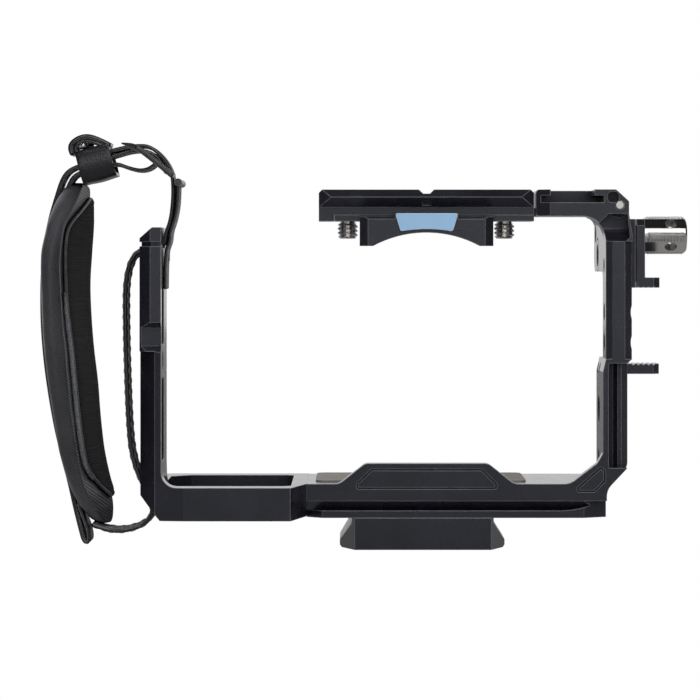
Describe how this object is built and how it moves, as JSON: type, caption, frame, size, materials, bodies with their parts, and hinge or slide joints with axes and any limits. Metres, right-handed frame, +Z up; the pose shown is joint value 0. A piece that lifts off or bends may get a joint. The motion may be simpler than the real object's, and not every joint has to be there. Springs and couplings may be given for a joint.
{
  "type": "camera cage",
  "caption": "Camera cage with an L-shaped frame, grip arm with padded hand strap, top accessory rail, cold shoe and a screw-down cable clamp.",
  "frame": {"origin": "centre of the tripod socket in the flat underside of the quick-release plate", "axes": "+X towards the cable clamp, +Y away from the lens, +Z up"},
  "size_m": [0.1948, 0.08, 0.1244],
  "materials": {
    "anodised": "fine matte black anodised",
    "badge_blue": "light blue anodised, bare",
    "steel": "bright machined steel",
    "dark_steel": "black oxide steel",
    "pad_rubber": "matte",
    "leather": "fine grained black",
    "lining": "ribbed knit",
    "strap_leather": "smooth black, painted edges, rough underside"
  },
  "bodies": {
    "cage": {"arm_strap": "strap_leather", "buckle_loop": "strap_leather", "buckle_ring": "dark_steel", "clamp_bar": "anodised", "clamp_bar_screws": "dark_steel", "fold_bar": "dark_steel", "front_badge": "badge_blue", "grip_arm": "anodised", "grip_screws": "dark_steel", "hand_pad_cover": "leather", "hand_pad_lining": "lining", "keeper_sleeve": "leather", "main_frame": "anodised", "pad_strap": "strap_leather", "plate_screws": "dark_steel", "qr_plate": "anodised", "rail_index_screw": "dark_steel", "rail_screws": "dark_steel", "seat_pad": "pad_rubber", "slack_strap": "strap_leather", "strap_pin": "steel", "strap_rivet": "dark_steel", "tail_strap": "strap_leather", "tip_strap": "strap_leather", "top_rail": "anodised", "top_strap": "strap_leather"},
    "jaw": {"clamp_jaw": "anodised", "clamp_nut": "steel"},
    "knob": {"clamp_knob": "steel", "clamp_stud": "steel"},
    "left_screw": {"camera_screw_left": "steel"},
    "right_screw": {"camera_screw_right": "steel"},
    "base_screw": {"base_camera_screw": "steel"}
  },
  "joints": [
    {"name": "jaw_slide", "type": "slide", "parent": "cage", "child": "jaw", "axis": [0, 0, 1], "range_m": [-0.0115, 0]},
    {"name": "knob_turn", "type": "hinge", "parent": "jaw", "child": "knob", "pos_m": [0.0678, -0.005, 0.0946], "axis": [1, 0, 0], "continuous": true},
    {"name": "camera_screw_left_turn", "type": "hinge", "parent": "cage", "child": "left_screw", "pos_m": [-0.0226, -0.0144, 0.0987], "axis": [0, 0, 1], "continuous": true},
    {"name": "camera_screw_right_turn", "type": "hinge", "parent": "cage", "child": "right_screw", "pos_m": [0.0248, -0.0144, 0.0987], "axis": [0, 0, 1], "continuous": true},
    {"name": "base_screw_turn", "type": "hinge", "parent": "cage", "child": "base_screw", "pos_m": [0.0011, 0, 0.0096], "axis": [0, 0, 1], "continuous": true}
  ]
}
